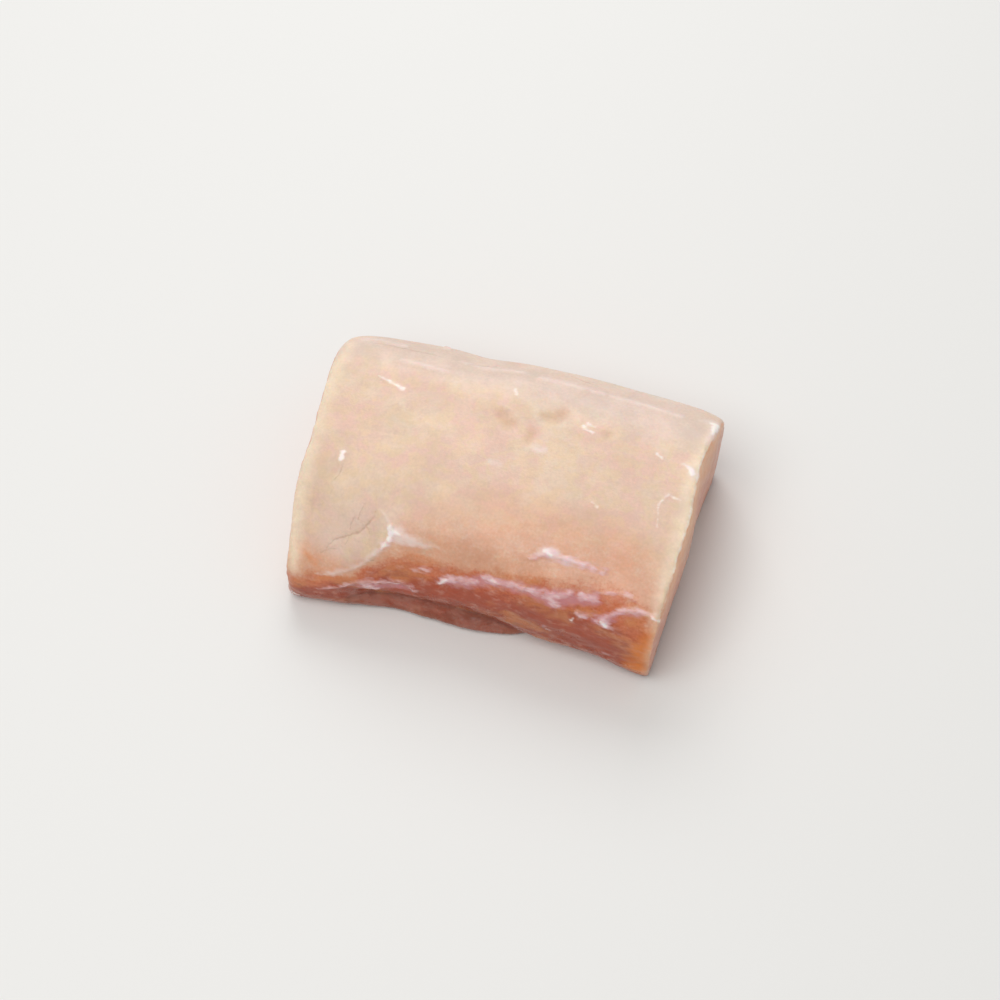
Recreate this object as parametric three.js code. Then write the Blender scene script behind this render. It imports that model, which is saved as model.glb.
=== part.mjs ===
// Boneless pork loin: a short length of loin, cut across the grain at both ends and lying on
// its flat underside. Millimetres, +X along the grain, +Y to the back, +Z up.
// The origin is under the middle of the piece, on the surface it lies on.
import * as THREE from 'three';

const { lerp, smoothstep } = THREE.MathUtils;

// Overall sizes of the trimmed muscle
const length = 132.5;          // cut to cut, along the middle line
const height = 44;             // top of the crown, at the middle of the length
const frontReach = 46.5;       // middle line to the front side, at the ends
const backReach = 48.5;        // middle line to the back side, at the middle of the length
const waist = 19;              // height of the widest line round the sides

// How square the cross-section is: 2 is an ellipse, more is boxier
const frontShoulder = 2.65;
const backShoulder = 3.5;
const underside = 8;
const sag = 2;                 // depth of the underside that its own weight presses flat

// The cut ends
const leftSkew = 0.1;          // the left cut runs this much off square, in plan
const leftDip = { y: -4, halfWidth: 16, depth: 1.4 };       // where the left cut is hollow
const rightLean = { back: 3, front: 4.4, from: -8, to: 8 };   // the right cut overhangs its foot
const rightDip = { y: 13, halfWidth: 7, depth: 0.6 };       // where the right cut is hollow
const rightFlare = { y: 41, halfWidth: 14, top: 2, foot: 1.1 };   // where the right cut swings out
const leftEdgeRadius = 3.5;
const rightEdgeRadius = 1.1;
const endCrown = 1.6;          // the cut muscle bulges this much at the middle of an end

// Falls of the crown and bows of the sides along the length
const leftFall = 3;
const rightFall = 1;
const fallStart = 12;          // from the middle of the length to where the crown starts to fall
const frontBow = 3.5;          // the front side draws in towards the middle of the length
const frontCorner = { from: 22, to: 50, swell: 2.2 };       // where it stands out, to the left
const backBow = 4.0;           // the back side draws in towards the right end
const backBowLeft = 0.4;       // and less towards the left end
const backCorner = { left: 5.5, right: 2.4, sharpness: 16 };  // how its corners are rounded off

// The trimmed facet at the front left corner: a flat that the knife left across the shoulder
const facetPoint = new THREE.Vector3(-26.5, -32, 37.5);
const facetNormal = new THREE.Vector3(-0.2, -0.6, 0.77).normalize();
const facetBlend = 4.5;        // half-width of the rounding where the flat meets the muscle

// The front side: hollow under the shoulder, then a lip that hangs over a lower layer
const hollow = { x: -10, z: 29, slant: 1.2, halfLength: 20, halfHeight: 11, depth: 4 };
const lip = { from: -44, to: 58, fade: 12, z: 8.5, halfHeight: 3.4, depth: 4 };
const lipFoot = { from: 6, to: 28, z: 1.5 };                // the lip comes down to the right
const layer = { x: 0, z: 2, halfLength: 20, halfHeight: 4.5, reach: 2 };

// A shallow notch along the back edge, and a small flap of trim at the front left foot
const notch = { x: -17, halfLength: 8, depth: 1.8 };
const flap = { x: -63, z: 2, halfLength: 6, halfHeight: 3.5, reach: 2 };
const sideFrom = 26;           // from the middle line to where the front and back sides begin
const sideTo = 38;             // and to where they are upright

// Fineness of the surface
const sections = 42;
const pointsRound = 56;
const lipDensity = 2.4;        // points on the low front, against those elsewhere
const baseDensity = 0.5;       // points on the flat underside, against those elsewhere
const edgeSteps = 3;
const capRings = 4;
const outlineSamples = 720;

const bell = (offset, halfWidth) => Math.exp(-((offset / halfWidth) ** 2));
const signedPower = (value, power) => Math.sign(value) * Math.abs(value) ** power;

// Reach to each side, and top, of the cross-section at a place along the length
function crossSection(x) {
  const outwards = x / (length / 2);
  const swell = frontCorner.swell * smoothstep(-x, frontCorner.from, frontCorner.to);
  const bow = (x > 0 ? backBow : backBowLeft) * outwards ** 2;
  const corner = (x > 0 ? backCorner.right : backCorner.left) * outwards ** backCorner.sharpness;
  const fall = leftFall * smoothstep(-x, fallStart, length / 2)
    + rightFall * smoothstep(x, fallStart, length / 2);
  return {
    front: frontReach - frontBow * (1 - outwards ** 2) + swell,
    back: backReach - bow - corner,
    top: height - fall,
  };
}

// One cross-section as a closed outline, from the middle of the underside round by the back
function outline(x) {
  const section = crossSection(x);
  const points = [];
  for (let i = 0; i <= outlineSamples; i += 1) {
    const angle = (i / outlineSamples) * 2 * Math.PI - Math.PI / 2;
    const across = Math.cos(angle);
    const up = Math.sin(angle);
    const shoulder = across > 0 ? backShoulder : frontShoulder;
    const power = 2 / (up > 0 ? shoulder : underside);
    const reach = across > 0 ? section.back : section.front;
    const rise = up > 0 ? section.top - waist : waist + sag;
    const z = waist + rise * signedPower(up, power);
    points.push(new THREE.Vector2(reach * signedPower(across, power), Math.max(z, 0)));
  }
  return pickPoints(points);
}

// The points that a ring keeps of a finely drawn outline, closer together on the low front
function pickPoints(points) {
  const runs = [0];
  for (let i = 1; i < points.length; i += 1) {
    runs.push(runs[i - 1] + points[i].distanceTo(points[i - 1]) * density(points[i]));
  }
  const picked = [];
  let i = 0;
  for (let k = 0; k < pointsRound; k += 1) {
    const run = (k / pointsRound) * runs.at(-1);
    while (runs[i + 1] < run) i += 1;
    const share = (run - runs[i]) / (runs[i + 1] - runs[i]);
    picked.push(points[i].clone().lerp(points[i + 1], share));
  }
  return picked;
}

function density(point) {
  if (point.y === 0) return baseDensity;
  return point.x < 0 && point.y < waist ? lipDensity : 1;
}

// The same outline drawn in by a distance, for the rounded rim of a cut end
function drawIn(points, distance) {
  return points.map((point, i) => {
    const before = points.at(i - 1);
    const after = points[(i + 1) % points.length];
    const along = after.clone().sub(before).normalize();
    return new THREE.Vector2(point.x - along.y * distance, point.y + along.x * distance);
  });
}

// Places an outline point between the two cut ends; share runs from 0, left, to 1, right
function alongLength(point, share) {
  const across = point.x;
  const up = point.y;
  const dip = ({ y, halfWidth, depth }) => depth * bell(across - y, halfWidth);
  const flare = lerp(rightFlare.foot, rightFlare.top, up / height)
    * bell(across - rightFlare.y, rightFlare.halfWidth);
  const front = 1 - smoothstep(across, rightLean.from, rightLean.to);
  const lean = lerp(rightLean.back, rightLean.front, front) * (up / height) - rightLean.back / 2;
  const left = -length / 2 - leftSkew * across + dip(leftDip);
  const right = length / 2 + lean + flare - dip(rightDip);
  return new THREE.Vector3(lerp(left, right, share), across, up);
}

// How far a point of the front side is pressed in by the hollow and the lip's undercut
function frontInset({ x, z }) {
  const hollowX = hollow.x + hollow.slant * (z - hollow.z);
  const hollowing = bell(x - hollowX, hollow.halfLength) * bell(z - hollow.z, hollow.halfHeight);
  const lipRun = smoothstep(x, lip.from, lip.from + lip.fade)
    * smoothstep(-x, -lip.to, lip.fade - lip.to);
  const lipZ = lerp(lip.z, lipFoot.z, smoothstep(x, lipFoot.from, lipFoot.to));
  const undercut = lipRun * bell(z - lipZ, lip.halfHeight);
  const layering = bell(x - layer.x, layer.halfLength) * bell(z - layer.z, layer.halfHeight);
  return hollow.depth * hollowing + lip.depth * undercut - layer.reach * layering;
}

// Pares a point that stands above the facet down to it, square to the length
function pareToFacet(point) {
  const proud = point.clone().sub(facetPoint).dot(facetNormal) / facetBlend;
  if (proud <= -1) return;
  const pared = (proud < 1 ? (proud + 1) ** 2 / 4 : proud) * facetBlend;
  const scale = pared / (1 - facetNormal.x ** 2);
  point.y -= scale * facetNormal.y;
  point.z -= scale * facetNormal.z;
}

// Works the hollow, lip, notch, flap and facet into a point of the plain muscle
function shapePoint(point) {
  const front = smoothstep(-point.y, sideFrom, sideTo);
  const back = smoothstep(point.y, sideFrom, sideTo) * smoothstep(point.z, waist, height);
  const flapping = bell(point.x - flap.x, flap.halfLength) * bell(point.z - flap.z, flap.halfHeight);
  point.y += front * frontInset(point) - back * notch.depth * bell(point.x - notch.x, notch.halfLength);
  point.x -= front * flap.reach * flapping;
  pareToFacet(point);
  return point;
}

// One ring of the surface at a share of the length, drawn in at the rim of an end
function ring(share, inset) {
  const x = lerp(-length / 2, length / 2, share);
  const points = inset > 0 ? drawIn(outline(x), inset) : outline(x);
  return points.map((point) => shapePoint(alongLength(point, share)));
}

// Rings of one cut end from its middle out to the rim, where the side begins
function endRings(share, radius) {
  const outward = share > 0 ? 1 : -1;
  const cutX = (point) => alongLength(new THREE.Vector2(point.y, point.z), share).x;
  const rim = ring(share, radius);
  const box = new THREE.Box3().setFromPoints(rim);
  const middle = box.getCenter(new THREE.Vector3());
  const half = box.getSize(new THREE.Vector3()).divideScalar(2);
  const crown = ({ y, z }) => endCrown * outward
    * (1 - ((y - middle.y) / half.y) ** 2) * (1 - ((z - middle.z) / half.z) ** 2);
  const rings = [];
  for (let i = 1; i < capRings; i += 1) {
    const out = i / capRings;
    rings.push(rim.map((edge) => {
      const point = middle.clone().lerp(edge, out);
      return point.setX(cutX(point) + crown(point) + (edge.x - cutX(edge)) * out);
    }));
  }
  for (let i = 0; i < edgeSteps; i += 1) {
    const turn = (i / edgeSteps) * (Math.PI / 2);
    const depth = (radius * (1 - Math.cos(turn))) / length;
    rings.push(ring(share - outward * depth, radius * (1 - Math.sin(turn))));
  }
  middle.setX(cutX(middle) + crown(middle));
  return { middle, rings };
}

// Joins the rings into one closed skin, and sets it over the origin
function loinGeometry() {
  const left = endRings(0, leftEdgeRadius);
  const right = endRings(1, rightEdgeRadius);
  const start = leftEdgeRadius / length;
  const stop = 1 - rightEdgeRadius / length;
  const sides = [];
  for (let i = 0; i <= sections; i += 1) {
    sides.push(ring(lerp(start, stop, i / sections), 0));
  }
  const rings = [...left.rings, ...sides, ...right.rings.reverse()];
  const vertices = [left.middle, ...rings.flat(), right.middle];
  const last = vertices.length - 1;
  const at = (row, i) => 1 + row * pointsRound + (i % pointsRound);

  const triangles = [];
  for (let i = 0; i < pointsRound; i += 1) {
    triangles.push(0, at(0, i + 1), at(0, i));
    for (let row = 0; row + 1 < rings.length; row += 1) {
      triangles.push(at(row, i), at(row, i + 1), at(row + 1, i + 1));
      triangles.push(at(row, i), at(row + 1, i + 1), at(row + 1, i));
    }
    triangles.push(last, at(rings.length - 1, i), at(rings.length - 1, i + 1));
  }

  const geometry = new THREE.BufferGeometry().setFromPoints(vertices);
  geometry.setIndex(triangles);
  geometry.computeVertexNormals();
  geometry.computeBoundingBox();
  const centre = geometry.boundingBox.getCenter(new THREE.Vector3());
  return geometry.translate(-centre.x, -centre.y, -geometry.boundingBox.min.z);
}

const meat = new THREE.MeshStandardMaterial({ color: 0xe4c7ad, roughness: 0.42, metalness: 0 });

const loin = new THREE.Mesh(loinGeometry(), meat);
loin.name = 'pork_loin';

const part = new THREE.Group();
part.add(loin);

export default part;
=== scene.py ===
import random
from functools import cache
from math import cos, pi, radians, sin

import bmesh
import bpy
import numpy as np
from mathutils import Euler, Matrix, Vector, noise
from mathutils.bvhtree import BVHTree


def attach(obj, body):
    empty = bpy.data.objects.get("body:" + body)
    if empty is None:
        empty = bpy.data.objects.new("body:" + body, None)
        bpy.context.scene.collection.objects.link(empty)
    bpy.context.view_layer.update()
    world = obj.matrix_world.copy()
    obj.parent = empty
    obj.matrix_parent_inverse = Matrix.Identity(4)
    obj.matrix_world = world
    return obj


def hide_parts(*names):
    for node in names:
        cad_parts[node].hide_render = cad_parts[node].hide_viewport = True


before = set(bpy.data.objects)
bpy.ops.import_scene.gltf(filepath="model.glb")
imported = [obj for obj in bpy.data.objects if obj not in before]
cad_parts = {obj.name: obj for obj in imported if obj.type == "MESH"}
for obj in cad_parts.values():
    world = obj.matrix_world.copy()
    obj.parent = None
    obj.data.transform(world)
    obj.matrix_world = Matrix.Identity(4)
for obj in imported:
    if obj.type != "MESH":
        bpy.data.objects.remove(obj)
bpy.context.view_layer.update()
mm = 0.001

# camera, floor and light

photoCamera = {
    "place": (0.14722, -0.31672, 0.54568),
    "turn": (33.127, 4.466, 18.037),    # degrees
    "lens": 66.52,
    "sensor": 36.0,
    "nearest": 0.01,
    "picture": 1000,                    # pixels a side
}

studio = {
    "floorTint": (236, 235, 232), "floorRoughness": 0.7, "floorSide": 6.0,
    "world": 0.44,
    "keyLight": {"place": (-0.2, -0.45, 1.15), "side": 0.9, "power": 6.8},
    "backLight": {"place": (-0.3, 0.9, 0.9), "side": 0.8, "power": 6.2},
}


def toLinear(srgb):             # tints are written as sRGB, 0 to 255
    levels = [value / 255 for value in srgb]
    return tuple(v / 12.92 if v <= 0.04045 else ((v + 0.055) / 1.055) ** 2.4 for v in levels) + (1,)


def addCamera():
    lens = bpy.data.cameras.new("camera")
    lens.lens = photoCamera["lens"]
    lens.sensor_width = photoCamera["sensor"]
    lens.clip_start = photoCamera["nearest"]
    camera = bpy.data.objects.new("camera", lens)
    camera.location = photoCamera["place"]
    camera.rotation_euler = [radians(turn) for turn in photoCamera["turn"]]
    bpy.context.scene.collection.objects.link(camera)
    bpy.context.scene.camera = camera


def addSoftbox(name, place, side, power):
    lamp = bpy.data.lights.new(name, "AREA")
    lamp.shape = "SQUARE"
    lamp.size = side
    lamp.energy = power
    softbox = bpy.data.objects.new(name, lamp)
    softbox.location = place
    softbox.rotation_euler = (-Vector(place)).to_track_quat("-Z", "Y").to_euler()
    bpy.context.scene.collection.objects.link(softbox)


def addFloor():
    mesh = bpy.data.meshes.new("floor")
    bm = bmesh.new()
    bmesh.ops.create_grid(bm, x_segments=1, y_segments=1, size=studio["floorSide"] / 2)
    bm.to_mesh(mesh)
    bm.free()
    floor = bpy.data.objects.new("floor", mesh)
    paint = bpy.data.materials.new("paleFloor")
    paint.use_nodes = True
    shader = paint.node_tree.nodes["Principled BSDF"]
    shader.inputs["Base Color"].default_value = toLinear(studio["floorTint"])
    shader.inputs["Roughness"].default_value = studio["floorRoughness"]
    mesh.materials.append(paint)
    bpy.context.scene.collection.objects.link(floor)


def addLight():
    world = bpy.data.worlds.new("studio")
    world.use_nodes = True
    sky = world.node_tree.nodes["Background"]
    sky.inputs["Color"].default_value = (1, 1, 1, 1)
    sky.inputs["Strength"].default_value = studio["world"]
    bpy.context.scene.world = world
    bpy.context.scene.view_settings.view_transform = "Standard"
    for name in ("keyLight", "backLight"):
        addSoftbox(name, **studio[name])


addCamera()
addFloor()
addLight()
print("camera, floor and light are set")

# the loin's body: the solid rounded off and given an even, fine mesh

body = {
    "weld": 0.001 * mm,
    "flatJoin": radians(60), "skewJoin": radians(80),   # triangles are joined to quads up to these angles
    "rounding": 2,
    "voxel": 0.92 * mm,
    "smoothing": 0.5,
    "middle": Vector((0, 0, 22 * mm)),
    "pastBack": 200,            # y in mm, clear of the back side
    "fineReach": 2.0 * mm,      # round each line, where the mesh is twice as fine
    "fineFrom": -32 * mm, "fineLow": 1 * mm, "fineHigh": 34 * mm,   # and on the red front side
}


def bodyMesh():
    bm = bmesh.new()
    bm.from_mesh(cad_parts["pork_loin"].data)
    bmesh.ops.remove_doubles(bm, verts=bm.verts, dist=body["weld"])
    bmesh.ops.join_triangles(bm, faces=bm.faces, angle_face_threshold=body["flatJoin"],
                             angle_shape_threshold=body["skewJoin"])
    mesh = bpy.data.meshes.new("roughLoin")
    bm.to_mesh(mesh)
    bm.free()
    rough = bpy.data.objects.new("roughLoin", mesh)
    bpy.context.scene.collection.objects.link(rough)
    rounding = rough.modifiers.new("rounding", "SUBSURF")
    rounding.levels = rounding.render_levels = body["rounding"]
    evening = rough.modifiers.new("evening", "REMESH")
    evening.mode = "VOXEL"
    evening.voxel_size = body["voxel"]
    fine = bpy.data.meshes.new_from_object(rough.evaluated_get(bpy.context.evaluated_depsgraph_get()))
    bpy.data.objects.remove(rough)
    bpy.data.meshes.remove(mesh)

    bm = bmesh.new()
    bm.from_mesh(fine)
    bpy.data.meshes.remove(fine)
    bmesh.ops.smooth_vert(bm, verts=bm.verts, factor=body["smoothing"],
                          use_axis_x=True, use_axis_y=True, use_axis_z=True)
    bmesh.ops.recalc_face_normals(bm, faces=bm.faces)
    return bm


def castPixel(pixel):
    half = photoCamera["picture"] / 2
    reach = photoCamera["lens"] / photoCamera["sensor"] * photoCamera["picture"]
    look = Vector(((pixel[0] - half) / reach, (half - pixel[1]) / reach, -1))
    look.rotate(Euler([radians(turn) for turn in photoCamera["turn"]]))
    start = Vector(photoCamera["place"])
    spot = surface.ray_cast(start, look)[0]
    if spot is None:            # just off the outline: the rim nearest to the ray
        passing = start + look * ((body["middle"] - start).dot(look) / look.length_squared)
        spot = surface.find_nearest(passing)[0]
    return spot


def castBack(place):            # x and z in mm, on the side that the picture doesn't show
    return surface.ray_cast(Vector((place[0], body["pastBack"], place[1])) * mm, Vector((0, -1, 0)))[0]


loin = bodyMesh()
surface = BVHTree.FromBMesh(loin)
print("body mesh:", len(loin.faces), "faces")

# lines and spots on the surface, drawn through pixels of the picture; widths and rises in mm
# those with "behind" are on the back side, and are drawn through x and z in mm

fatLines = {
    "seam": {"at": [(391, 527), (391, 534), (389, 540)], "wide": [0.5, 1.0, 0.5], "rise": 0.3},
    "seamWedge": {"at": [(391, 528), (395, 532), (400, 535)], "wide": [0.4, 0.6, 0.0], "rise": 0.2},
    # painted highlights where the wet right rim catches the light
    "rimCornerHighlight": {"at": [(710, 423), (716, 426), (713, 433)], "wide": [0.3, 1.3, 0.7], "rise": 0.1},
    "rimPatchHighlight": {"at": [(686, 467), (691, 470), (692, 475)], "wide": [0.2, 1.0, 0.5], "rise": 0.15},
    "seamBead": {"at": [(385, 545), (382, 548)], "wide": [0.5, 0.4], "rise": 0.3},
    "topStreak": {"at": [(379, 376), (392, 383), (404, 389)], "wide": [0.15, 0.45, 0.6], "rise": 0.15},
    "topSpot": {"at": [(343, 453), (341, 459)], "wide": [1.0, 0.8], "rise": 0.3},
    "pairLong": {"at": [(583, 427), (593, 433)], "wide": [0.5, 0.4], "rise": 0.15},
    "pairShort": {"at": [(588, 424), (595, 427)], "wide": [0.35, 0.3], "rise": 0.1},
    "backFleck": {"at": [(515, 390), (517, 394)], "wide": [0.5, 0.4], "rise": 0.1},
    "rightFleck": {"at": [(657, 454), (662, 458)], "wide": [0.3, 0.3], "rise": 0.1},
    "frontFleck": {"at": [(592, 502), (597, 507)], "wide": [0.15, 0.3], "rise": 0.1},
    "forkLeft": {"at": [(659, 505), (664, 499), (669, 495)], "wide": [0.2, 0.1, 0.2], "rise": 0.1},
    "forkRight": {"at": [(669, 496), (675, 499), (681, 501)], "wide": [0.15, 0.05, 0.0], "rise": 0.1},
    "forkTail": {"at": [(658, 508), (658, 517), (657, 526)], "wide": [0.0, 0.05, 0.0], "rise": 0.1},
    "leftTip": {"at": [(292, 591), (299, 594)], "wide": [0.6, 0.3], "rise": 0.2},
    "curveKnot": {"at": [(601, 621), (606, 625)], "wide": [0.4, 0.5], "rise": 0.3},
    "skinKnot": {"at": [(492, 579), (496, 581)], "wide": [0.2, 0.15], "rise": 0.3},
    "skinTip": {"at": [(440, 583), (447, 579)], "wide": [0.1, 0.2], "rise": 0.3},
    "upperKnot": {"at": [(544, 551), (551, 555)], "wide": [0.4, 0.6], "rise": 0.2},
    "flapKnot": {"at": [(410, 587), (413, 589)], "wide": [0.2, 0.15], "rise": 0.2},
    # a painted highlight: a small white glint on the wet front
    "beadHighlight": {"at": [(571, 620), (573, 618)], "wide": [0.25, 0.15], "rise": 0.2},
    "rimEnd": {"at": [(653, 618), (660, 621)], "wide": [0.3, 0.5], "rise": 0.2},
    "rimLine": {"at": [(706, 450), (700, 468), (695, 490), (690, 514), (683, 540), (675, 568), (668, 594),
                       (662, 612)],
                "wide": [0.0, 0.2, 0.1, 0.2, 0.1, 0.2, 0.1, 0.0]},
}

# thin skins of membrane, on the red front side and the back
skinLines = {
    "seam": {"at": [(391, 526), (391, 535), (388, 542), (382, 548)],
             "wide": [0.3, 0.7, 0.5, 0.6], "rise": 0.3},
    "flapLeft": {"at": [(318, 588), (336, 587), (346, 585), (354, 582), (364, 580), (376, 581)],
                 "wide": [0.1, 0.3, 0.45, 0.55, 0.7, 0.5], "rise": 0.5},
    "flapRight": {"at": [(376, 581), (390, 581), (402, 582), (411, 586), (415, 591)],
                  "wide": [0.5, 0.35, 0.3, 0.45, 0.3], "rise": 0.5},
    "flapPatch": {"at": [(363, 583), (369, 587), (376, 589)], "wide": [0.7, 1.4, 0.8], "rise": 0.4},
    "fleck": {"at": [(414, 570), (422, 569), (430, 571)], "wide": [0.2, 0.7, 0.3], "rise": 0.2},
    "longLeft": {"at": [(439, 582), (446, 579), (456, 579), (466, 580), (476, 582)],
                 "wide": [0.3, 0.7, 0.8, 0.7, 0.3], "rise": 0.5},
    "longMiddle": {"at": [(484, 577), (492, 580), (502, 583), (512, 585), (522, 589)],
                   "wide": [0.3, 1.0, 0.8, 0.6, 0.4], "rise": 0.5},
    "longRight": {"at": [(522, 588), (536, 592), (548, 594), (558, 596), (570, 594)],
                  "wide": [0.4, 0.5, 1.1, 0.8, 0.4], "rise": 0.5},
    "longDrop": {"at": [(549, 597), (554, 602), (558, 605)], "wide": [0.9, 0.8, 0.3], "rise": 0.3},
    "longEnd": {"at": [(580, 595), (588, 598), (596, 600)], "wide": [0.4, 0.9, 0.6], "rise": 0.3},
    "longTail": {"at": [(605, 593), (618, 593), (628, 596), (636, 601)],
                 "wide": [0.1, 0.25, 0.3, 0.1], "rise": 0.2},
    "upperLight": {"at": [(530, 559), (541, 556), (548, 553), (556, 556), (568, 559)],
              "wide": [0.2, 0.5, 1.2, 0.9, 0.5], "rise": 0.35},
    "upperTail": {"at": [(568, 559), (582, 564), (595, 568), (604, 572)],
                  "wide": [0.4, 0.3, 0.35, 0.1], "rise": 0.25},
    "curveLeft": {"at": [(577, 611), (580, 615), (590, 616), (599, 620)],
                  "wide": [0.1, 0.4, 0.25, 0.5], "rise": 0.4},
    "curveRight": {"at": [(601, 621), (607, 617), (614, 613), (623, 611), (633, 611), (643, 613), (656, 619)],
                   "wide": [0.5, 0.55, 0.45, 0.4, 0.4, 0.4, 0.3], "rise": 0.5},
    "curvePatch": {"at": [(599, 622), (605, 624), (612, 629)], "wide": [0.6, 1.0, 0.4], "rise": 0.3},
    # a painted highlight: a small glint on the wet front
    "lowHighlight": {"at": [(544, 626), (548, 629)], "wide": [0.3, 0.2], "rise": 0.2},
    "footFleck": {"at": [(604, 652), (608, 653)], "wide": [0.3, 0.2], "rise": 0.2},
    "behindLong": {"behind": True, "at": [(48, 15), (34, 19), (18, 23), (2, 22), (-12, 24), (-26, 20)],
                   "wide": [0.2, 0.6, 0.9, 0.4, 0.8, 0.2], "rise": 0.45},
    "behindFork": {"behind": True, "at": [(18, 23), (10, 27), (-2, 29)],
                   "wide": [0.6, 0.5, 0.1], "rise": 0.35},
    "behindShort": {"behind": True, "at": [(-34, 27), (-42, 26), (-50, 22), (-55, 20)],
                    "wide": [0.2, 0.8, 0.6, 0.1], "rise": 0.35},
    "behindLow": {"behind": True, "at": [(26, 8), (14, 11), (2, 10), (-12, 7)],
                  "wide": [0.2, 0.6, 0.5, 0.2], "rise": 0.35},
    "behindEnd": {"behind": True, "at": [(-28, 12), (-38, 14), (-48, 11), (-56, 12)],
                  "wide": [0.1, 0.5, 0.6, 0.2], "rise": 0.35},
}

# the mauve tinge round the membranes
hazes = {
    "flap": {"at": [(352, 584), (370, 586), (388, 585), (410, 588)], "wide": [0.6, 1.8, 1.0, 0.8]},
    "long": {"at": [(442, 581), (466, 582), (492, 582), (520, 588), (550, 598), (575, 598), (594, 600)],
             "wide": [0.6, 1.7, 1.9, 1.7, 2.8, 1.9, 2.2]},
    "upperLight": {"at": [(536, 557), (550, 556), (575, 563), (606, 572)], "wide": [0.2, 0.8, 0.6, 0.3]},
    "curve": {"at": [(582, 614), (602, 621), (618, 614), (640, 614)], "wide": [0.6, 1.6, 0.8, 0.6]},
    "behindLong": {"behind": True, "at": [(46, 16), (20, 22), (-4, 23), (-26, 20)],
                   "wide": [0.2, 1.0, 0.8, 0.2]},
    "behindShort": {"behind": True, "at": [(-34, 27), (-46, 24), (-54, 20)], "wide": [0.1, 0.8, 0.1]},
    "behindLow": {"behind": True, "at": [(22, 9), (4, 10), (-10, 8)], "wide": [0.1, 0.8, 0.1]},
}

# soft pale ridges and spots
paleSpots = {
    "wedge": {"at": [(391, 527), (398, 535), (407, 540), (420, 544), (438, 548)],
              "wide": [0.6, 2.2, 2.2, 0.9, -0.5], "rise": 0.3},
    "facetRim": {"at": [(389, 541), (382, 548), (372, 556), (358, 566), (344, 571), (328, 575), (314, 574)],
                 "wide": [0.6, 0.6, 0.4, 0.3, 0.5, 0.7, -0.8], "rise": 0.4},
    # a painted highlight along the facet's upper right edge
    "facetRightHighlight": {"at": [(390, 525), (386, 517), (380, 509)], "wide": [0.2, 0.0, -0.3], "rise": 0.15},
    # painted highlights where the wet right rim catches the light
    "rimCornerHighlight": {"at": [(700, 420), (710, 422), (717, 425)], "wide": [0.1, 1.2, 1.7], "rise": 0.1},
    "rimGlint": {"at": [(717, 426), (713, 434), (707, 444)], "wide": [1.6, 1.4, 0.3], "rise": 0.1},
    "rimPatchHighlight": {"at": [(683, 465), (690, 469), (693, 477)], "wide": [0.1, 1.2, 0.5], "rise": 0.15},
    "upperKnot": {"at": [(539, 553), (547, 551), (557, 556), (569, 561), (584, 565)],
                  "wide": [0.4, 1.5, 1.4, 0.8, 0.1], "rise": 0.15},
    "middle": {"at": [(489, 462), (500, 464)], "wide": [0.6, 0.4]},
    "middleRight": {"at": [(535, 449), (545, 451)], "wide": [0.7, 0.5]},
    "backLeft": {"at": [(360, 339), (382, 341), (406, 346)], "wide": [0.2, 0.5, 0.1], "rise": 0.2},
    "backBump": {"at": [(444, 349), (447, 349), (450, 350)], "wide": [0.2, 0.7, 0.2], "rise": 0.8},
    "backFirst": {"at": [(402, 359), (426, 365), (448, 372)], "wide": [0.1, 0.5, 0.2], "rise": 0.15},
    "backSecond": {"at": [(462, 362), (492, 369), (524, 372)], "wide": [0.2, 0.6, 0.2], "rise": 0.2},
    "backThird": {"at": [(540, 378), (572, 384), (604, 394)], "wide": [0.2, 0.6, 0.2], "rise": 0.2},
    "backFourth": {"at": [(612, 396), (646, 405), (682, 416)], "wide": [0.2, 0.5, 0.3], "rise": 0.2},
}

# broad tones: pinkish white along the back edge, partly its own pale tone and partly painted sheen where the
# rounded edge catches the light; dull pink on the pared facet
roseSheenBands = {
    "back": {"at": [(352, 347), (376, 342), (420, 352), (480, 368), (540, 380), (600, 393), (650, 408),
                    (692, 425)],
             "wide": [2.0, 4.0, 5.0, 5.5, 5.5, 6.0, 8.0, 6.0]},
}

ashPatches = {
    "facet": {"at": [(318, 552), (334, 537), (350, 522), (364, 512)], "wide": [2.5, 5.0, 5.0, 2.5]},
}

# the creases are painted darker, as the shade in their grooves
creases = {
    "facetLong": {"at": [(326, 548), (334, 540), (345, 536), (359, 532), (367, 525), (373, 518), (376, 511)],
                  "wide": [0.02, 0.06, 0.12, 0.18, 0.18, 0.1, 0.02], "rise": -0.22},
    "facetShort": {"at": [(345, 545), (349, 537)], "wide": [0.02, 0.1], "rise": -0.12},
    "facetTop": {"at": [(365, 504), (361, 511), (358, 519)], "wide": [0.02, 0.1, 0.02], "rise": -0.12},
    "facetMiddle": {"at": [(355, 516), (352, 522), (350, 529)], "wide": [0.02, 0.07, 0.02], "rise": -0.1},
    "facetFork": {"at": [(366, 526), (369, 530), (369, 533)], "wide": [0.1, 0.1, 0.02], "rise": -0.12},
    "facetLow": {"at": [(320, 552), (329, 549), (336, 549)], "wide": [0.02, 0.08, 0.02], "rise": -0.1},
    "spotTail": {"at": [(342, 465), (340, 473), (334, 480)], "wide": [0.06, 0.08, 0.02], "rise": -0.15},
    "darkFleck": {"at": [(371, 561), (373, 561)], "wide": [0.2, 0.2], "rise": -0.2},
    "backEdge": {"at": [(370, 342), (393, 346), (418, 351), (440, 356)],
                 "wide": [0.02, 0.1, 0.08, 0.02], "rise": -0.15},
    "backLine": {"at": [(470, 365), (484, 366), (497, 366)], "wide": [0.02, 0.1, 0.02], "rise": -0.2},
    "backNick": {"at": [(571, 376), (584, 381), (598, 386)], "wide": [0.02, 0.15, 0.02], "rise": -0.2},
}
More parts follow.
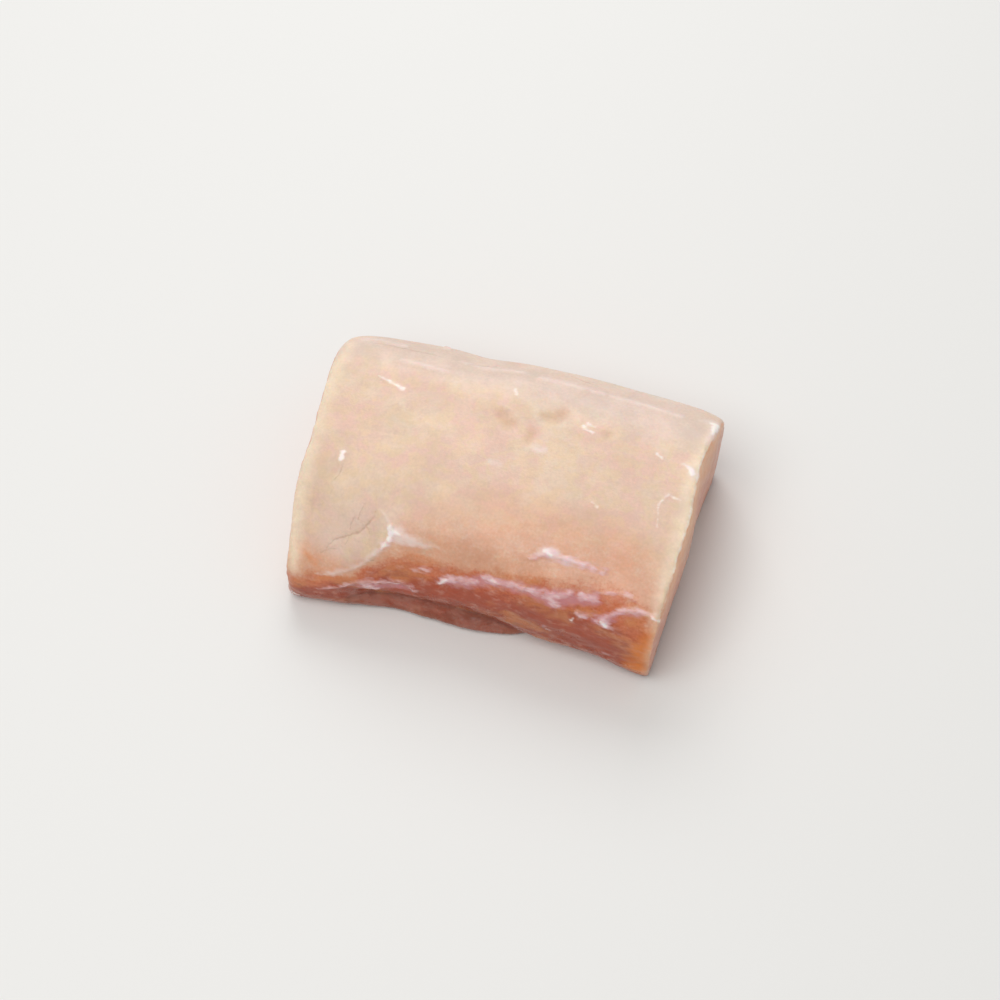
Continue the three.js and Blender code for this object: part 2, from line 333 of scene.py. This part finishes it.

# the cream rims of the two cut ends, partly their own cream tone and partly painted light where the rims
# catch it
creamBands = {
    "rightRim": {"at": [(716, 428), (709, 446), (702, 463), (696, 486), (692, 510), (685, 535), (676, 565),
                        (668, 594), (661, 616), (656, 636), (652, 652), (649, 672)],
                 "wide": [1.0, 1.2, 1.2, 1.4, 1.8, 2.0, 2.0, 1.6, 0.8, -0.6, -1.0, -0.4]},
    "leftRim": {"at": [(350, 346), (335, 368), (323, 398), (314, 430), (306, 464), (298, 502), (294, 540),
                       (294, 566)],
                "wide": [0.5, 1.5, 1.8, 1.8, 1.5, 1.8, 1.5, 0.5]},
}

# the dents are painted darker, as the shade in their hollows
dents = {
    "first": {"at": [(501, 413), (505, 417), (510, 424)], "wide": [2.2, 2.8, 2.2], "rise": -0.35},
    "second": {"at": [(545, 416), (556, 417), (562, 413)], "wide": [2.0, 2.2, 2.6], "rise": -0.3},
    "third": {"at": [(531, 432), (528, 440)], "wide": [1.8, 1.6], "rise": -0.25},
    "fourth": {"at": [(606, 434), (610, 433)], "wide": [1.6, 1.4], "rise": -0.2},
    "shallowDent": {"at": [(396, 363), (415, 367), (434, 372)], "wide": [0.0, 0.5, 0.0], "rise": -0.08},
}

amberSpots = {
    "corner": {"at": [(654, 630), (648, 646), (643, 658), (637, 668)], "wide": [1.5, 4.0, 5.0, 5.0]},
    "left": {"at": [(304, 548), (309, 558), (316, 565)], "wide": [-0.9, -0.3, -0.9]},
    "wedge": {"at": [(402, 551), (417, 556), (434, 559)], "wide": [-0.8, 0.0, -0.8]},
}

lineKinds = {"fat": fatLines, "skin": skinLines, "haze": hazes, "pale": paleSpots, "roseSheen": roseSheenBands,
             "ash": ashPatches, "crease": creases, "cream": creamBands, "dent": dents, "amber": amberSpots}
lineReach = {"fat": 4.0, "skin": 4.0, "haze": 5.0, "pale": 5.0, "roseSheen": 14.0,      # mm past a line's edge
             "ash": 10.0, "crease": 3.0, "cream": 9.0, "dent": 6.0, "amber": 8.0}
fineKinds = ("fat", "skin", "pale", "crease")

stroke = {
    "step": 0.35 * mm,
    "uneven": 0.5, "unevenSize": 1.8 * mm,      # a line's width swells and shrinks along it
    "fray": 0.4 * mm, "fraySize": 1.6 * mm, "fraySeed": 7,      # and fine lines have ragged edges
    "shoulder": 0.45 * mm,                      # its relief dies away past its edge
}


def curvePoint(before, start, end, after, t):   # on the smooth curve that runs through start and end
    return 0.5 * (2 * start + (end - before) * t + (2 * before - 5 * start + 4 * end - after) * t ** 2
                  + (3 * start - before - 3 * end + after) * t ** 3)


def drawLine(line):
    cast = castBack if line.get("behind") else castPixel
    knots = [cast(place) for place in line["at"]]
    wide = line["wide"]
    spots, widths = [], []
    for i in range(len(knots) - 1):
        before, start = knots[max(i - 1, 0)], knots[i]
        end, after = knots[i + 1], knots[min(i + 2, len(knots) - 1)]
        count = max(2, int((end - start).length / stroke["step"]))
        for k in range(count + 1):
            t = k / count
            spot = curvePoint(before, start, end, after, t)
            spots.append(surface.find_nearest(spot)[0])
            uneven = 1 + stroke["uneven"] * noise.noise(spot / stroke["unevenSize"])
            widths.append((wide[i] + (wide[i + 1] - wide[i]) * t) * uneven)
    return np.array(spots), np.array(widths) * mm


drawn = {kind: {name: drawLine(line) for name, line in lines.items()} for kind, lines in lineKinds.items()}

# short faint flecks of fat, scattered over the back, the ends and the underside

scatter = {
    "seed": 23, "shortest": 1.2 * mm, "longest": 4.5 * mm, "thin": 0.1 * mm, "thick": 0.4 * mm, "rise": 0.1,
    "squarely": 0.85,           # how far the surface has to face its side
    "stray": 0.25,              # radians off the grain
    "steps": 12,
    "sides": {"back": ((0, 1, 0), 8), "left": ((-1, 0, 0), 5), "right": ((1, 0, 0), 3),
              "under": ((0, 0, -1), 8)},
}


def scatterFlecks():
    pick = random.Random(scatter["seed"])
    steps = np.linspace(-1, 1, scatter["steps"])
    for side, (facing, count) in scatter["sides"].items():
        faces = [face for face in loin.faces if face.normal.dot(Vector(facing)) > scatter["squarely"]]
        for i in range(count):
            middle = pick.choice(faces).calc_center_median()
            turn = pick.uniform(0, pi) if facing[0] else pick.gauss(0, scatter["stray"])
            along = Vector((0, cos(turn), sin(turn))) if facing[0] else Vector((cos(turn), sin(turn), 0))
            half = pick.uniform(scatter["shortest"], scatter["longest"]) / 2
            thick = pick.uniform(scatter["thin"], scatter["thick"])
            spots = [surface.find_nearest(middle + along * half * step)[0] for step in steps]
            name = f"{side}{i}"
            drawn["fat"][name] = np.array(spots), thick * (1 - steps ** 2)
            fatLines[name] = {"rise": scatter["rise"]}


def refineNearLines(bm):
    spots = np.concatenate([spots for kind in fineKinds for spots, _ in drawn[kind].values()])
    co = np.array([v.co for v in bm.verts])
    near = (co[:, 1] < body["fineFrom"]) & (co[:, 2] > body["fineLow"]) & (co[:, 2] < body["fineHigh"])
    for spot in spots:
        near |= ((co - spot) ** 2).sum(1) < body["fineReach"] ** 2
    edges = [e for e in bm.edges if near[e.verts[0].index] and near[e.verts[1].index]]
    bmesh.ops.subdivide_edges(bm, edges=edges, cuts=1, use_grid_fill=True)
    bm.verts.index_update()


scatterFlecks()
loin.verts.index_update()
refineNearLines(loin)
loin.normal_update()
co = np.array([v.co for v in loin.verts])
normals = np.array([v.normal for v in loin.verts])
lineCount = sum(len(lines) for lines in drawn.values())
print("lines drawn:", lineCount, "and the mesh has", len(loin.faces), "faces")

# how far each vertex is from the lines, and what rises there


def fray(places):
    noise.seed_set(stroke["fraySeed"])          # noise vectors start from the clock without it
    moved = [noise.noise_vector(Vector(place) / stroke["fraySize"]) * stroke["fray"] for place in places]
    return places + np.array(moved)


def smoothStep(value, low, high):
    t = np.clip((value - low) / (high - low), 0, 1)
    return t * t * (3 - 2 * t)


def lineField(kind):
    # nearest edge of any line of a kind, in mm, below nought inside it; and the rise there
    reach = lineReach[kind]
    places = frayed if kind in fineKinds else co
    gaps = np.full(len(co), reach)
    rise = np.zeros(len(co))
    for name, (spots, widths) in drawn[kind].items():
        low, high = spots.min(0) - reach * mm, spots.max(0) + reach * mm
        near = np.flatnonzero(((places > low) & (places < high)).all(1))
        away = np.sqrt(((places[near][:, None] - spots[None]) ** 2).sum(2))
        pick = (away - widths).argmin(1)
        rows = np.arange(len(near))
        gap = (away - widths)[rows, pick] / mm
        gaps[near] = np.minimum(gaps[near], gap)
        fade = np.exp(-(away[rows, pick] / (widths[pick] + stroke["shoulder"])) ** 2)
        rise[near] += lineKinds[kind][name].get("rise", 0) * fade
    return gaps, rise


# how red the flesh is: contours through pixels, by the angle round the section

blush = {
    "axis": (0, 15 * mm),       # y and z of the line that the angles are taken round
    # from the pale contour the top turns gently warmer and darker towards the front: painted shade
    "pale": [(293, 510), (320, 526), (350, 556), (375, 548), (391, 520), (408, 500), (425, 486), (450, 474),
             (500, 466), (550, 472), (600, 486), (640, 506), (676, 540)],
    # warm, salmon and red are the front's own redder flesh, painted partly darker as the shade the front lies
    # in
    "warm": [(296, 562), (325, 572), (350, 574), (375, 562), (392, 552), (408, 552), (425, 554), (450, 561),
             (475, 565), (500, 567), (550, 573), (600, 576), (640, 588), (668, 604)],
    "salmon": [(300, 582), (325, 581), (350, 579), (375, 570), (400, 566), (425, 567), (450, 573), (475, 578),
               (500, 583), (525, 587), (550, 591), (575, 596), (600, 602), (625, 612), (658, 634)],
    "red": [(310, 588), (350, 585), (400, 583), (425, 583), (450, 590), (475, 596), (500, 600), (525, 606),
            (550, 614), (575, 624), (600, 636), (625, 648), (650, 662)],
    "levels": (0.0, 0.33, 0.66, 1.0, 1.35),
    "frontFade": 14 * mm,       # from the middle of the underside to where the front's red is full
    "backFrom": 38 * mm, "backTo": 2 * mm, "backMost": 0.86,    # the back side reddens down to its foot
    "backSway": 7 * mm, "backSwayLength": 24 * mm, "backSwayRow": 0.5,
    "underside": 0.25, "underFacing": (0.5, 0.9),
}


def sectionAngle(y, z):
    axisY, axisZ = blush["axis"]
    return np.degrees(np.arctan2(z - axisZ, axisY - y))


def contour(name):
    spots = np.array([castPixel(pixel) for pixel in blush[name]])
    return np.interp(co[:, 0], spots[:, 0], sectionAngle(spots[:, 1], spots[:, 2]))


def frontBlush():
    angle = sectionAngle(co[:, 1], co[:, 2])
    red, salmon, warm, pale = [contour(name) for name in ("red", "salmon", "warm", "pale")]
    low, some, more, most, darkest = blush["levels"]
    front = np.full(len(co), low)
    front = np.where(angle < pale, some * (pale - angle) / (pale - warm), front)
    front = np.where(angle < warm, some + (more - some) * (warm - angle) / (warm - salmon), front)
    front = np.where(angle < salmon, more + (most - more) * (salmon - angle) / (salmon - red), front)
    # past the red contour, towards the foot, the flesh is painted darker still: painted shade
    front = np.where(angle < red, most + (red - angle) / (salmon - red) * (darkest - most), front)
    return np.minimum(front, darkest) * smoothStep(-co[:, 1], 0, blush["frontFade"])


def backBlush():
    waves = [noise.noise(Vector((x / blush["backSwayLength"], blush["backSwayRow"], 0))) for x in co[:, 0]]
    sway = blush["backSway"] * np.array(waves)
    back = blush["backMost"] * smoothStep(sway - co[:, 2], -blush["backFrom"], -blush["backTo"])
    return back * smoothStep(co[:, 1], blush["frontFade"], 2 * blush["frontFade"])


def blushField():
    under = blush["underside"] * smoothStep(-normals[:, 2], *blush["underFacing"])
    return np.maximum(np.maximum(frontBlush(), backBlush()), under)


# the lower layer that shows under the front's lip; its tints are painted shade, darkest right under the lip

lowerLayer = {
    "from": -43 * mm, "to": 27 * mm, "fade": 6 * mm,
    "top": [(-43 * mm, 8.5 * mm), (6 * mm, 8.5 * mm), (28 * mm, 1.5 * mm)],     # x, and z under the lip
    "topFade": (-1 * mm, 2 * mm),
}


def layerField():
    run = smoothStep(co[:, 0], lowerLayer["from"], lowerLayer["from"] + lowerLayer["fade"])
    run *= smoothStep(-co[:, 0], -lowerLayer["to"], lowerLayer["fade"] - lowerLayer["to"])
    top = np.interp(co[:, 0], *zip(*lowerLayer["top"]))
    under = smoothStep(top - co[:, 2], *lowerLayer["topFade"])
    return run * under * smoothStep(-co[:, 1], 0, blush["frontFade"])


cutFacing = (0.76, 0.92)        # a cut end is where the surface faces along the grain

frayed = fray(co)
fields = {}
rises = np.zeros(len(co))
for kind in lineKinds:
    fields[kind], rise = lineField(kind)
    rises += rise
fields["blush"] = blushField()
fields["layer"] = layerField()
fields["cutEnd"] = smoothStep(np.abs(normals[:, 0]), *cutFacing)

# relief in the mesh: bumps of a height in mm and a size, some drawn out along the grain, and the drawn lines

bumpKinds = {
    "swell": {"high": 0.3, "size": 20 * mm},
    "fibre": {"high": 0.03, "size": 1.5 * mm, "long": 10 / 1.5},
    "lump": {"high": 0.4, "size": 6 * mm, "long": 2},               # on the flesh
    "pimple": {"high": 0.16, "size": 2.2 * mm, "long": 1.5},
    "grit": {"high": 0.05, "size": 1.1 * mm},
    "nibble": {"high": 0.55, "size": 3.5 * mm},                     # along the pale rims
    "cutGrain": {"high": 0.16, "size": 1.9 * mm},
    "cutWave": {"high": 0.3, "size": 9 * mm},
    "layerLump": {"high": 0.5, "size": 5 * mm},
    "layerGrit": {"high": 0.16, "size": 1.7 * mm},
}

relief = {
    "rim": (-1, 1.5),           # mm into the pale rim, where the nibbles start and are full
    "seamStep": 0.7, "seamReach": 3.5 * mm,     # the pared layer ends in a step along its seam
    "seamBlush": (0.08, 0.4),
    "footFade": 4 * mm,         # the relief dies away towards the flat underside
}


def bumps(name):
    kind = bumpKinds[name]
    long = kind.get("long", 1)
    return kind["high"] * np.array([noise.noise(Vector((x / long, y, z)) / kind["size"]) for x, y, z in co])


def seamStep():
    spots = np.concatenate([drawn["skin"]["seam"][0], drawn["pale"]["facetRim"][0]])
    away = np.array([((spots - place) ** 2).sum(1).min() for place in co]) ** 0.5
    depth = relief["seamStep"] * np.exp(-(away / relief["seamReach"]) ** 2)
    return -depth * smoothStep(fields["blush"], *relief["seamBlush"])


def reliefField():
    side = 1 - fields["cutEnd"]
    rim = smoothStep(-fields["cream"], *relief["rim"])
    out = seamStep() + bumps("swell") + bumps("nibble") * rim + bumps("fibre") * side
    out += (bumps("lump") + bumps("pimple") + bumps("grit")) * fields["blush"] * side
    out += (bumps("layerLump") + bumps("layerGrit")) * fields["layer"]
    out += (bumps("cutGrain") + bumps("cutWave")) * fields["cutEnd"]
    return (out + rises) * smoothStep(co[:, 2], 0, relief["footFade"])


lift = reliefField()
co += normals * lift[:, None] * mm
co[:, 2] = np.maximum(co[:, 2], 0)
for vert, place in zip(loin.verts, co):
    vert.co = place
bmesh.ops.recalc_face_normals(loin, faces=loin.faces)
loinMesh = bpy.data.meshes.new("porkLoin")
loin.to_mesh(loinMesh)
loin.free()
loinMesh.shade_smooth()
for name, values in fields.items():
    attribute = loinMesh.attributes.new(name, "FLOAT", "POINT")
    attribute.data.foreach_set("value", values.astype(np.float32))
print("relief worked in, deepest and highest in mm:", round(lift.min(), 2), round(lift.max(), 2))

# the meat's finish

meat = {
    "roughness": 0.42, "swing": 0.08, "wetRoughness": 0.26, "wetBlush": 0.6,
    "subsurface": 0.45, "scatterDepth": 0.0013, "scatterRatio": (1.0, 0.42, 0.26),
    "specular": 0.4, "coat": 0.1, "coatRoughness": 0.2,
    "bumpStrength": 0.4, "bumpDepth": 0.25 * mm, "bundleBump": -0.4, "fineBump": 0.6, "skinBump": 0.5,
    "hazeShare": 0.74, "cutShare": 0.9,
}

tints = {
    "topPale": (229, 203, 179), "topPink": (229, 193, 175), "topGold": (228, 200, 165),
    "topAsh": (218, 187, 168), "roseSheen": (226, 203, 189), "ash": (224, 196, 180),
    # warm, salmon and red: the front's own redder flesh, partly painted shade
    "warm": (222, 167, 136), "salmon": (203, 114, 76), "red": (171, 76, 45), "darkest": (147, 69, 48),
    "gold": (214, 143, 89), "deep": (147, 69, 48), "speck": (220, 178, 162), "amber": (220, 124, 36),
    # the lower layer's tints are painted shade: darker than the flesh, darkest right under the lip
    "layer": (146, 84, 65), "layerPink": (168, 110, 94), "layerRed": (171, 76, 45), "undercutShade": (118, 62, 46),
    "dent": (205, 162, 129), "cream": (245, 225, 198), "crease": (178, 133, 100),
    # the top tint of the cut ends is painted light: lighter and more golden towards the top
    "cut": (209, 142, 114), "cutLine": (216, 155, 129), "cutPink": (210, 139, 121), "cutTopLight": (252, 192, 144),
    "marbling": (238, 217, 209), "pale": (238, 217, 209), "haze": (206, 142, 149), "skin": (238, 206, 208),
    "fat": (255, 246, 240),
}

# noise patterns: scale, detail, squeeze along the grain (below 1 draws them out), and bend
grains = {
    "topPink": (75, 3, 1, 0.5), "topGold": (240, 4, 1, 0.6), "topAsh": (310, 4, 1, 0.8),
    "drift": (130, 4, 0.5, 0.5), "mottle": (420, 4, 0.6, 0.5), "pepper": (1150, 3, 1, 0),
    "gold": (120, 3, 0.6, 0.5), "deep": (290, 4, 0.5, 0.8), "speck": (480, 4, 0.6, 0),
    "speckPatch": (160, 3, 1, 0), "amber": (170, 4, 0.6, 0.4),
    "layerPink": (260, 5, 0.5, 0.6), "layerRed": (420, 5, 0.5, 0),
    "cream": (220, 3, 0.4, 0), "cutPink": (55, 4, 1, 0.5), "marbling": (55, 2, 1, 0.3),
    "marblingPatch": (75, 2, 1, 0), "speckle": (1000, 4, 1, 0), "cloud": (85, 3, 1, 0.4),
    "strands": (650, 5, 0.45, 0), "skinPatch": (300, 3, 0.5, 0), "sheen": (260, 3, 1, 0),
    "fine": (1500, 3, 1, 0),
}
bundles = {"scale": 520, "along": 0.14, "bendScale": 120, "bend": 4 * mm, "shade": 0.35}    # of fibres

# how far a grain sways the blush, the shade, or the edge of a line in mm
sways = {
    "drift": 0.55, "mottle": 0.45, "pepper": 0.35, "speckle": 1.6, "cloud": 2.4,
    "roseSheen": 9.0, "ash": 9.0, "amber": 6.0, "cream": 3.0, "haze": 5.0, "pale": 3.0, "skin": 4.0, "fat": 1.6,
}

# how much of a tint shows: from and to on its field or grain, and the share at each
shares = {
    "topPink": (0.38, 0.62, 0, 1), "topGold": (0.43, 0.6, 0, 0.6), "topAsh": (0.54, 0.68, 0, 0.35),
    "roseSheen": (9.0, -3.0, 0, 0.8), "ash": (5.0, -4.0, 0, 0.7),
    "wander": (0.05, 0.45, 0, 1), "warm": (0.02, 0.36, 0, 1), "salmon": (0.33, 0.68, 0, 1),
    # the darkest level is painted shade towards the foot of the front
    "red": (0.62, 1.0, 0, 1), "darkest": (1.0, 1.4, 0, 0.5),
    "gold": (0.48, 0.66, 0, 0.5), "goldFlesh": (0.3, 0.6, 0, 1),
    "deep": (0.52, 0.68, 0, 0.36), "deepFlesh": (0.55, 0.95, 0, 1),
    "speck": (0.46, 0.72, 0, 0.36), "speckPatch": (0.4, 0.62, 0, 1), "speckFlesh": (0.3, 0.75, 0, 1),
    "amber": (2.5, -4.0, 0, 0.9),
    "layerPink": (0.4, 0.6, 0, 1), "layerRed": (0.46, 0.68, 0, 0.35), "undercutShade": (0.35, 0.95, 0, 1),
    "layer": (0.0, 0.8, 0, 0.8),
    "dent": (1.4, -2.3, 0, 0.58), "cream": (4.5, -2.0, 0, 0.85), "crease": (0.4, -0.2, 0, 0.5),
    "cutLine": (0.12, 0.62, 0.1, 0.9), "cutPink": (0.4, 0.62, 0, 0.7),
    "marbling": (0.018, 0.0, 0, 0.42), "marblingPatch": (0.46, 0.62, 0, 1),
    "cutTopLight": (24 * mm, 43 * mm, 0, 1), "cutTopLightAlong": (-50 * mm, 50 * mm, 0.3, 0.85),
    "shade": (-0.7, 0.9, 1.07, 0.92),
    "haze": (1.4, -1.4, 0, 1), "pale": (1.5, -1.3, 0, 0.78), "fat": (0.6, -0.6, 0, 0.88),
    "skin": (1.25, -1.0, 0, 1), "skinPatch": (0.36, 0.6, 0.38, 0.84),
    "sheen": (0.35, 0.65, meat["roughness"] - meat["swing"], meat["roughness"] + meat["swing"]),
    "wet": (0.0, 1.0, 0, 1),
}

mixSockets = {"RGBA": (0, 6, 7, 2), "FLOAT": (0, 2, 3, 0)}      # factor, first, second and result

rawMeat = bpy.data.materials.new("rawMeat")
rawMeat.use_nodes = True
nodes, links = rawMeat.node_tree.nodes, rawMeat.node_tree.links
where = nodes.new("ShaderNodeTexCoord").outputs["Object"]


def addNode(kind, **settings):
    made = nodes.new(kind)
    for key, value in settings.items():
        setattr(made, key, value)
    return made


def feed(socket, value):
    if isinstance(value, bpy.types.NodeSocket):
        links.new(value, socket)
    else:
        socket.default_value = value


def tint(name):
    return toLinear(tints[name])


@cache
def field(name):
    return addNode("ShaderNodeAttribute", attribute_name=name).outputs["Fac"]


def stretched(socket, along):
    mapping = addNode("ShaderNodeMapping")
    links.new(socket, mapping.inputs["Vector"])
    mapping.inputs["Scale"].default_value = (along, 1, 1)
    return mapping.outputs["Vector"]


@cache
def grain(name):
    scale, detail, along, bend = grains[name]
    made = addNode("ShaderNodeTexNoise")
    links.new(stretched(where, along), made.inputs["Vector"])
    made.inputs["Scale"].default_value = scale
    made.inputs["Detail"].default_value = detail
    made.inputs["Distortion"].default_value = bend
    return made.outputs["Fac"]


@cache
def bundle():
    bend = addNode("ShaderNodeTexNoise")
    links.new(where, bend.inputs["Vector"])
    bend.inputs["Scale"].default_value = bundles["bendScale"]
    bent = addNode("ShaderNodeVectorMath", operation="MULTIPLY_ADD")
    links.new(bend.outputs["Color"], bent.inputs[0])
    bent.inputs[1].default_value = (0, bundles["bend"], bundles["bend"])
    links.new(where, bent.inputs[2])
    cells = addNode("ShaderNodeTexVoronoi", feature="SMOOTH_F1")
    links.new(stretched(bent.outputs["Vector"], bundles["along"]), cells.inputs["Vector"])
    cells.inputs["Scale"].default_value = bundles["scale"]
    return cells.outputs["Distance"]


def sums(operation, first, second):
    made = addNode("ShaderNodeMath", operation=operation)
    feed(made.inputs[0], first)
    feed(made.inputs[1], second)
    return made.outputs[0]


def offMiddle(name):            # a grain's middle is a half
    return sums("SUBTRACT", grain(name), 0.5)


def edge(name, grainName):      # a line's distance, swayed by a grain
    return sums("ADD", field(name), sums("MULTIPLY", offMiddle(grainName), sways[name]))


def share(name, value):
    made = addNode("ShaderNodeMapRange", interpolation_type="SMOOTHSTEP")
    for key, given in zip(("Value", "From Min", "From Max", "To Min", "To Max"), (value, *shares[name])):
        feed(made.inputs[key], given)
    return made.outputs["Result"]


def mix(kind, amount, first, second, **settings):
    made = addNode("ShaderNodeMix", data_type=kind, **settings)
    factor, one, other, result = mixSockets[kind]
    feed(made.inputs[factor], amount)
    feed(made.inputs[one], first)
    feed(made.inputs[other], second)
    return made.outputs[result]


def lay(colour, name, amount):
    return mix("RGBA", amount, colour, tint(name))


def over(colour, name, value):
    return lay(colour, name, share(name, value))


def paleTop():                  # blotched, with its broad tones
    colour = tint("topPale")
    for name in ("topPink", "topGold", "topAsh"):
        colour = over(colour, name, grain(name))
    for name in ("roseSheen", "ash"):
        # the band along the back edge is partly painted sheen
        colour = over(colour, name, edge(name, "drift"))
    return colour


def redFlesh(colour):           # reddens by its contours, mottled with gold, dark and pinkish specks
    wander = 0.0
    for name in ("drift", "mottle", "pepper"):
        wander = sums("ADD", wander, sums("MULTIPLY", offMiddle(name), sways[name]))
    wander = sums("MULTIPLY", wander, share("wander", field("blush")))
    level = sums("ADD", field("blush"), wander)
    for name in ("warm", "salmon", "red", "darkest"):
        colour = over(colour, name, level)
    for name in ("gold", "deep"):
        colour = lay(colour, name, sums("MULTIPLY", share(name, grain(name)), share(name + "Flesh", level)))
    specks = sums("MULTIPLY", share("speck", grain("speck")), share("speckPatch", grain("speckPatch")))
    colour = lay(colour, "speck", sums("MULTIPLY", specks, share("speckFlesh", level)))
    return over(colour, "amber", edge("amber", "amber"))


def underLip(colour):           # the lower layer, painted darker as shade, darkest right under the lip
    under = over(tint("layer"), "layerPink", grain("layerPink"))
    under = over(under, "layerRed", grain("layerRed"))
    under = mix("RGBA", share("undercutShade", field("layer")), tint("undercutShade"), under)
    return mix("RGBA", share("layer", field("layer")), colour, under)


def cutEnds(colour):
    cut = over(tint("cut"), "cutLine", bundle())
    cut = over(cut, "cutPink", grain("cutPink"))
    vein = share("marbling", sums("ABSOLUTE", offMiddle("marbling"), 0))
    cut = lay(cut, "marbling", sums("MULTIPLY", vein, share("marblingPatch", grain("marblingPatch"))))
    parts = addNode("ShaderNodeSeparateXYZ")
    links.new(where, parts.inputs["Vector"])
    # painted light: the cut ends lighter towards the top, most on the right end
    upperLight = sums("MULTIPLY", share("cutTopLight", parts.outputs["Z"]), share("cutTopLightAlong", parts.outputs["X"]))
    cut = lay(cut, "cutTopLight", upperLight)
    return mix("RGBA", sums("MULTIPLY", field("cutEnd"), meat["cutShare"]), colour, cut)


def clouded(colour):            # a little lighter and darker by turns
    cloud = sums("MULTIPLY", bundle(), bundles["shade"])
    for name in ("speckle", "cloud"):
        cloud = sums("ADD", cloud, sums("MULTIPLY", offMiddle(name), sways[name]))
    return mix("RGBA", 1.0, colour, share("shade", cloud), blend_type="MULTIPLY")


def finishMeat():
    colour = underLip(redFlesh(paleTop()))
    # painted shade in the dents
    colour = over(colour, "dent", field("dent"))
    # the pale rims are partly painted light
    colour = over(colour, "cream", edge("cream", "cream"))
    colour = clouded(cutEnds(colour))

    # films, membranes and fat over the flesh
    film = share("haze", edge("haze", "strands"))
    skin = sums("MULTIPLY", share("skin", edge("skin", "strands")), share("skinPatch", grain("skinPatch")))
    colour = lay(colour, "haze", sums("MULTIPLY", film, meat["hazeShare"]))
    colour = over(colour, "pale", edge("pale", "strands"))
    colour = lay(colour, "skin", skin)
    colour = over(colour, "fat", edge("fat", "strands"))
    # painted shade in the creases
    colour = over(colour, "crease", field("crease"))

    # wetter on the films and the red flesh
    wet = share("wet", sums("MAXIMUM", film, sums("MULTIPLY", field("blush"), meat["wetBlush"])))
    gloss = mix("FLOAT", wet, share("sheen", grain("sheen")), meat["wetRoughness"])

    ridges = sums("ADD", sums("MULTIPLY", bundle(), meat["bundleBump"]),
                  sums("MULTIPLY", grain("fine"), meat["fineBump"]))
    bump = addNode("ShaderNodeBump")
    bump.inputs["Strength"].default_value = meat["bumpStrength"]
    bump.inputs["Distance"].default_value = meat["bumpDepth"]
    links.new(sums("ADD", ridges, sums("MULTIPLY", skin, meat["skinBump"])), bump.inputs["Height"])

    shader = nodes["Principled BSDF"]
    links.new(colour, shader.inputs["Base Color"])
    links.new(gloss, shader.inputs["Roughness"])
    links.new(bump.outputs["Normal"], shader.inputs["Normal"])
    shader.inputs["Subsurface Weight"].default_value = meat["subsurface"]
    shader.inputs["Subsurface Radius"].default_value = meat["scatterRatio"]
    shader.inputs["Subsurface Scale"].default_value = meat["scatterDepth"]
    shader.inputs["Specular IOR Level"].default_value = meat["specular"]
    shader.inputs["Coat Weight"].default_value = meat["coat"]
    shader.inputs["Coat Roughness"].default_value = meat["coatRoughness"]


finishMeat()
porkLoin = bpy.data.objects.new("porkLoin", loinMesh)
bpy.context.scene.collection.objects.link(porkLoin)
loinMesh.materials.append(rawMeat)
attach(porkLoin, "root")
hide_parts("pork_loin")
print("loin finished:", len(loinMesh.polygons), "faces")
